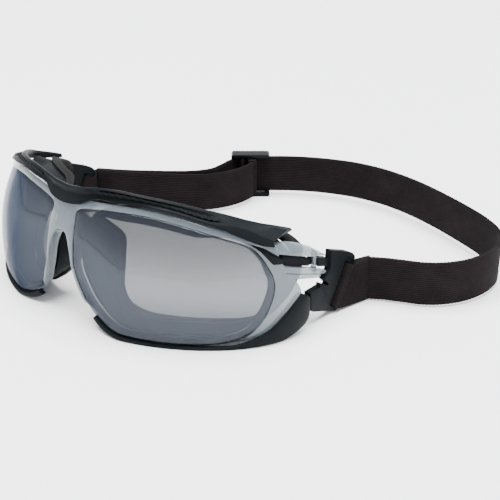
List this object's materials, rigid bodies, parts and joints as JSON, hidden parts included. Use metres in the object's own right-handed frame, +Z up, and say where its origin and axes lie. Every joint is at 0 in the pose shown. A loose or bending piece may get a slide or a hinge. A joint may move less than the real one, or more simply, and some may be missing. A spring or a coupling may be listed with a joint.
{
  "type": "motorcycle goggles",
  "caption": "Wrap-round motorcycle goggles with mirrored lenses, sealed brow and face gasket, hooked side clips and an adjustable elastic head strap.",
  "frame": {"origin": "middle of the whole object at the table it stands on", "axes": "+Z up; -Y is the way the front faces; +X is the wearer's left, the side the picture shows"},
  "size_m": [0.2018, 0.1778, 0.0569],
  "materials": {
    "front_frame": "smoke-clear moulding, polished",
    "lens_left": "silver mirror coating, partly see-through",
    "lens_right": "silver mirror coating, partly see-through",
    "brow_bar": "satin black",
    "brow_vent_left": "ribbed soft strip",
    "brow_vent_right": "ribbed soft strip",
    "gasket_left": "dark grey, matt",
    "gasket_right": "dark grey, matt",
    "face_seal_left": "closed-cell foam",
    "face_seal_right": "closed-cell foam",
    "nose_pad_left": "soft, matt",
    "nose_pad_right": "soft, matt",
    "lower_guard_left": "satin black",
    "lower_guard_right": "satin black",
    "temple_insert_left": "soft, matt",
    "temple_insert_right": "soft, matt",
    "hinge_pin_left": "smoke-clear",
    "hinge_pin_right": "smoke-clear",
    "strap_clip_left": "satin black",
    "strap_clip_right": "satin black",
    "strap_loop_left": "woven elastic, black-brown",
    "strap_loop_right": "woven elastic, black-brown",
    "strap_band": "woven elastic, black-brown",
    "strap_return": "woven elastic, black-brown",
    "strap_slider": "gloss black",
    "slider_hem": "woven elastic, black-brown"
  },
  "bodies": {
    "front": {"front_frame": "front_frame", "brow_bar": "brow_bar", "lens_left": "lens_left", "lens_right": "lens_right", "brow_vent_left": "brow_vent_left", "brow_vent_right": "brow_vent_right", "gasket_left": "gasket_left", "gasket_right": "gasket_right", "face_seal_left": "face_seal_left", "face_seal_right": "face_seal_right", "nose_pad_left": "nose_pad_left", "nose_pad_right": "nose_pad_right", "lower_guard_left": "lower_guard_left", "lower_guard_right": "lower_guard_right", "temple_insert_left": "temple_insert_left", "temple_insert_right": "temple_insert_right", "hinge_pin_left": "hinge_pin_left", "hinge_pin_right": "hinge_pin_right"},
    "headband": {"strap_band": "strap_band", "strap_return": "strap_return"},
    "clip_left": {"strap_clip_left": "strap_clip_left", "strap_loop_left": "strap_loop_left"},
    "clip_right": {"strap_clip_right": "strap_clip_right", "strap_loop_right": "strap_loop_right"},
    "slider": {"strap_slider": "strap_slider", "slider_hem": "slider_hem"}
  },
  "joints": [
    {"name": "headband_release", "type": "slide", "parent": "front", "child": "headband", "axis": [0, 0.9409, -0.3387], "range_m": [0, 0.012]},
    {"name": "clip_left_swing", "type": "hinge", "parent": "headband", "child": "clip_left", "pos_m": [0.0569, -0.02678, 0.025], "axis": [0, 0, 1], "range_deg": [-6, 6], "deforming": ["strap_loop_left"]},
    {"name": "clip_right_swing", "type": "hinge", "parent": "headband", "child": "clip_right", "pos_m": [-0.09551, -0.02678, 0.025], "axis": [0, 0, 1], "range_deg": [-6, 6], "deforming": ["strap_loop_right"]},
    {"name": "slider_adjust", "type": "slide", "parent": "headband", "child": "slider", "axis": [0.77, 0.638, 0], "range_m": [0, 0.01], "deforming": ["strap_return"]}
  ]
}
